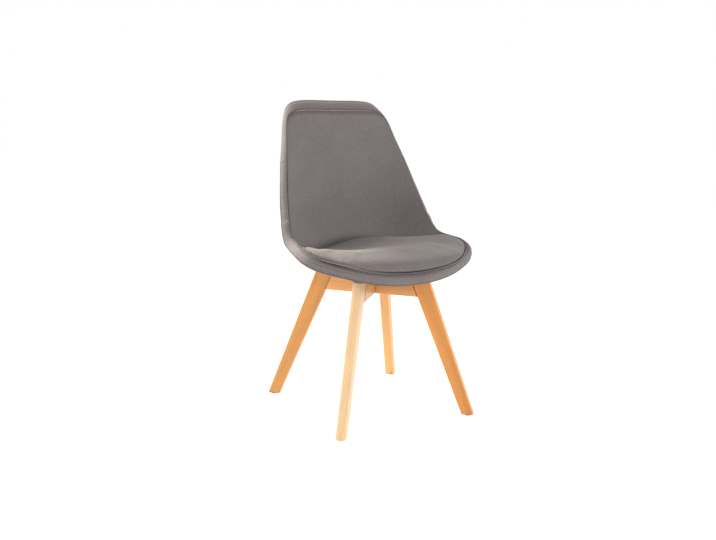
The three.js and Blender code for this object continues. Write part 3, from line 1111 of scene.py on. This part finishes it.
# Soft pieces
cloth = cloth_material("microfibre", linear(cloth_color))
front = pad("seat_front", 1, front_pad_floor)
rear = pad("seat_rear", -1, rear_pad_floor)
cut_boss_holes(rear)
band = side_band()
cushion = cushion_start()
start_mesh = cushion.data
even_out(cushion)
swell(cushion, hold_floor(cushion, start_mesh))
finish_cushion(cushion)
cord = piping()
dress(front, cloth, "front_cover", "front_foam")
dress(rear, cloth, "rear_cover", "rear_foam")
dress(band, cloth, "side_band")
dress(cushion, cloth, "cushion_cover", "cushion_foam", "cushion_lining")
dress(cord, cloth, "cushion_piping")

# Carried-over nodes, each piece of wood with a grain and a colour that is partly its own tone and partly
# painted light
hard_materials = {}
for prefixes, (name, color, roughness) in plastics.items():
    hard_materials[prefixes] = plastic_material(name, linear(color), roughness)
for prefixes, (name, color, roughness) in metals.items():
    hard_materials[prefixes] = metal_material(name, linear(color), roughness)
smoothing = smoothing_group()
for seed, (name, node) in enumerate(nodes.items()):
    material = material_of(name, node, seed)
    if material:
        give(node, material, smoothing)


# Floor that looks white to the camera and keeps the chair's soft shadow
def backdrop_floor():
    signs = ((-1, -1), (1, -1), (1, 1), (-1, 1))
    corners = [(right * floor_size, rear * floor_size, 0) for right, rear in signs]
    floor = new_object("floor", mesh_from("floor", corners, [(0, 1, 2, 3)]))
    material, tree, main = shader("pale floor", (floor_gray, floor_gray, floor_gray), floor_roughness)
    faint = add(tree, "ShaderNodeBsdfDiffuse", Color=(faint_gray, faint_gray, faint_gray, 1))
    glow = add(tree, "ShaderNodeEmission", Strength=1 - faint_gray * world_light)
    both = add(tree, "ShaderNodeAddShader")
    tree.links.new(faint.outputs[0], both.inputs[0])
    tree.links.new(glow.outputs[0], both.inputs[1])
    output = next(node for node in tree.nodes if node.type == "OUTPUT_MATERIAL")
    look_and_light(tree, both, main, output)
    floor.data.materials.append(material)


# 1 where the camera, a reflection or a clear piece sees the surface, and 0 where it only lights
def seen(tree):
    path = add(tree, "ShaderNodeLightPath")
    sharp = combine(tree, "MAXIMUM", path.outputs["Is Glossy Ray"], path.outputs["Is Transmission Ray"])
    return combine(tree, "MAXIMUM", path.outputs["Is Camera Ray"], sharp)


# One shader for what is seen of a surface, and another for how it lights
def look_and_light(tree, look, light, output):
    pick = add(tree, "ShaderNodeMixShader")
    tree.links.new(seen(tree), pick.inputs[0])
    tree.links.new(light.outputs[0], pick.inputs[1])
    tree.links.new(look.outputs[0], pick.inputs[2])
    tree.links.new(pick.outputs[0], output.inputs[0])


# World that looks white and lights softly
def soft_world():
    world = bpy.data.worlds.new("studio")
    bpy.context.scene.world = world
    world.use_nodes = True
    tree = world.node_tree
    tree.nodes.clear()
    white = add(tree, "ShaderNodeBackground", Color=(1, 1, 1, 1), Strength=1)
    soft = add(tree, "ShaderNodeBackground", Color=(1, 1, 1, 1), Strength=world_light)
    look_and_light(tree, white, soft, add(tree, "ShaderNodeOutputWorld"))


# Square lamp that shines on the chair from a direction
def lamp(name, direction, size, power, tint):
    light = bpy.data.lights.new(name, "AREA")
    light.shape = "SQUARE"
    light.size = size
    light.energy = power
    light.color = tint
    made = new_object(name, light)
    towards = Vector(direction).normalized()
    made.location = camera_aim + towards * lamp_distance
    made.rotation_mode = "QUATERNION"
    made.rotation_quaternion = towards.to_track_quat("Z", "Y")


# Camera where the photograph was taken
def photo_camera():
    azimuth, elevation = math.radians(camera_azimuth), math.radians(camera_elevation)
    level = math.cos(elevation)
    back = Vector((math.sin(azimuth) * level, -math.cos(azimuth) * level, math.sin(elevation)))
    right = Vector((math.cos(azimuth), math.sin(azimuth), 0))
    up = back.cross(right)
    turn = Matrix((right, up, back)).transposed() @ Matrix.Rotation(camera_roll, 3, "Z")
    data = bpy.data.cameras.new("camera")
    data.lens = camera_lens
    data.sensor_width = camera_sensor
    made = new_object("camera", data)
    made.matrix_world = Matrix.Translation(camera_aim + back * camera_distance) @ turn.to_4x4()
    bpy.context.scene.camera = made


# Studio
backdrop_floor()
soft_world()
for name, (direction, size, power, tint) in lamps.items():
    lamp(name, direction, size, power, tint)
photo_camera()
bpy.context.scene.view_settings.view_transform = "Standard"
